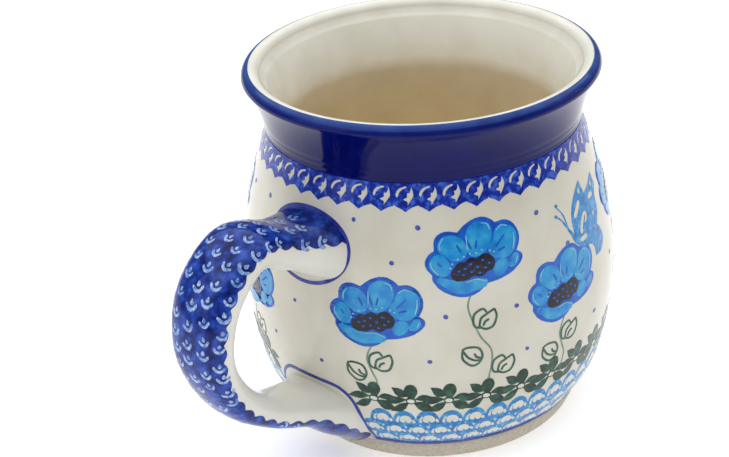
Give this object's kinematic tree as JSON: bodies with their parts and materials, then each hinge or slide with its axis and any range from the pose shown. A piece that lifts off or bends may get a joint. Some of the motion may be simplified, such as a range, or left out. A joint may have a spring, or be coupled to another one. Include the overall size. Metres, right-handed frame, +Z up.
{
  "type": "stoneware mug",
  "caption": "Round-bellied stoneware mug with a flared cobalt collar, an ear-shaped handle, a flat foot ring and hand-painted blue and green flowers.",
  "frame": {"origin": "on the table plane, under the middle of the whole mug's bounding box, handle included", "axes": "+Z up along the cup's axis, -X towards the handle, so the XZ plane is the mug's mirror plane"},
  "size_m": [0.1372, 0.0996, 0.0976],
  "materials": {
    "bare_stoneware": "unglazed fired stoneware, fine-grained and matt",
    "joining_slip": "fired clay slip, matt",
    "cream_glaze": "glossy cream glaze",
    "cobalt_glaze": "glossy deep cobalt glaze",
    "clear_glaze": "glossy clear glaze over an off-white body with painted decoration"
  },
  "bodies": {
    "root": {"body_casting": "bare_stoneware", "handle_casting": "bare_stoneware", "upper_joint_slip": "joining_slip", "lower_joint_slip": "joining_slip", "inside_glaze": "cream_glaze", "collar_glaze": "cobalt_glaze", "belly_glaze": "clear_glaze", "handle_glaze": "clear_glaze"}
  },
  "joints": []
}
